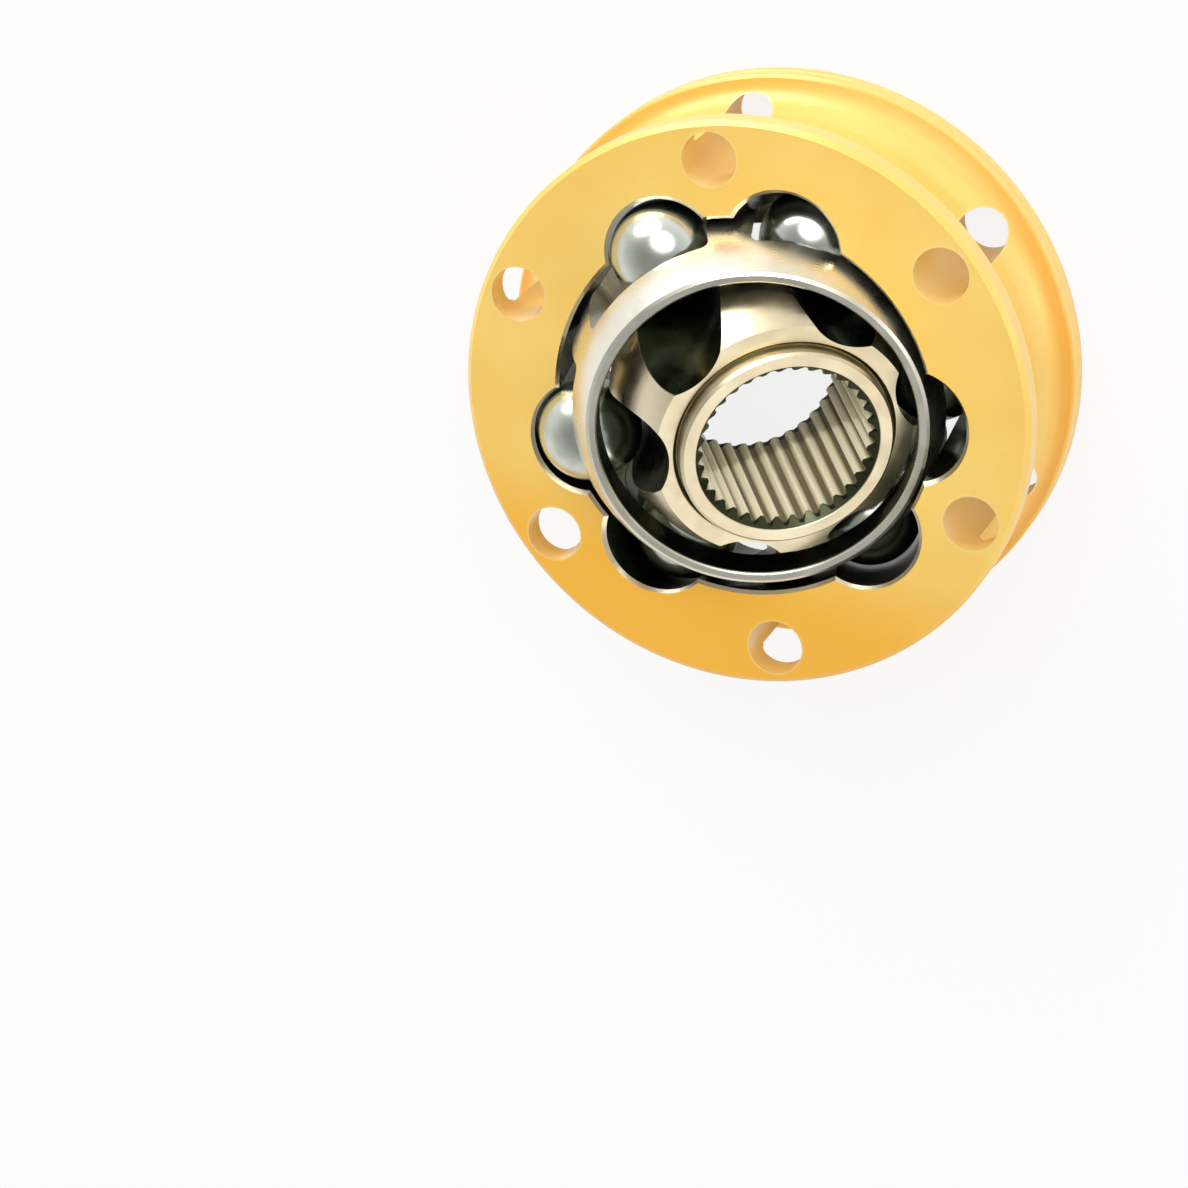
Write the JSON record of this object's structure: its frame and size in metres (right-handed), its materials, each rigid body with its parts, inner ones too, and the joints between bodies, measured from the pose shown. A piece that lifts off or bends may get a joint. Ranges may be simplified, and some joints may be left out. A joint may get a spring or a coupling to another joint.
{
  "type": "constant velocity joint",
  "caption": "Plunging constant-velocity joint: flanged outer race with slanted ball tracks, cage, splined inner race and steel balls, its inner race tilted to one side.",
  "frame": {"origin": "centre of the outer race's back face, which the joint stands on", "axes": "+Z along the outer race's axis towards the face that the inner race looks out of; the inner race tilts about X, its raised side towards +Y"},
  "size_m": [0.108, 0.108, 0.0527],
  "materials": {
    "outer_race_coating": "satin",
    "cage_steel": "satin",
    "inner_race_steel": "satin",
    "ball_steel": "polished"
  },
  "bodies": {
    "outer_race": {"outer_race": "outer_race_coating"},
    "cage": {"cage": "cage_steel"},
    "inner_race": {"inner_race": "inner_race_steel"},
    "ball_1": {"ball_1": "ball_steel"},
    "ball_2": {"ball_2": "ball_steel"},
    "ball_3": {"ball_3": "ball_steel"},
    "ball_4": {"ball_4": "ball_steel"},
    "ball_5": {"ball_5": "ball_steel"},
    "ball_6": {"ball_6": "ball_steel"}
  },
  "joints": [
    {"name": "joint_angle", "type": "hinge", "parent": "outer_race", "child": "inner_race", "pos_m": [0, 0, 0.0243], "axis": [1, 0, 0], "range_deg": [-55.5, 0]},
    {"name": "cage_tilt", "type": "hinge", "parent": "outer_race", "child": "cage", "pos_m": [0, 0, 0.0243], "axis": [1, 0, 0], "range_deg": [-28, 0.2]},
    {"name": "ball_1_travel", "type": "slide", "parent": "outer_race", "child": "ball_1", "axis": [0, 0.2672, 0.9636], "range_m": [-0.0012, 0.0002]},
    {"name": "ball_2_travel", "type": "slide", "parent": "outer_race", "child": "ball_2", "axis": [0.2314, -0.1336, 0.9636], "range_m": [-0.0132, 0.0002]},
    {"name": "ball_3_travel", "type": "slide", "parent": "outer_race", "child": "ball_3", "axis": [-0.2314, -0.1336, 0.9636], "range_m": [-0.0132, 0.0002]},
    {"name": "ball_4_travel", "type": "slide", "parent": "outer_race", "child": "ball_4", "axis": [0, 0.2672, 0.9636], "range_m": [-0.0012, 0.0002]},
    {"name": "ball_5_travel", "type": "slide", "parent": "outer_race", "child": "ball_5", "axis": [0.2314, -0.1336, 0.9636], "range_m": [-0.0002, 0.0142]},
    {"name": "ball_6_travel", "type": "slide", "parent": "outer_race", "child": "ball_6", "axis": [-0.2314, -0.1336, 0.9636], "range_m": [-0.0002, 0.0142]}
  ],
  "couplings": [
    {"joint": "cage_tilt", "follows": "joint_angle", "ratio": 0.5},
    {"joint": "ball_1_travel", "follows": "joint_angle", "m_per_rad": 0.001067},
    {"joint": "ball_2_travel", "follows": "joint_angle", "m_per_rad": 0.013458},
    {"joint": "ball_3_travel", "follows": "joint_angle", "m_per_rad": 0.013458},
    {"joint": "ball_4_travel", "follows": "joint_angle", "m_per_rad": 0.001067},
    {"joint": "ball_5_travel", "follows": "joint_angle", "m_per_rad": -0.014438},
    {"joint": "ball_6_travel", "follows": "joint_angle", "m_per_rad": -0.014438}
  ]
}
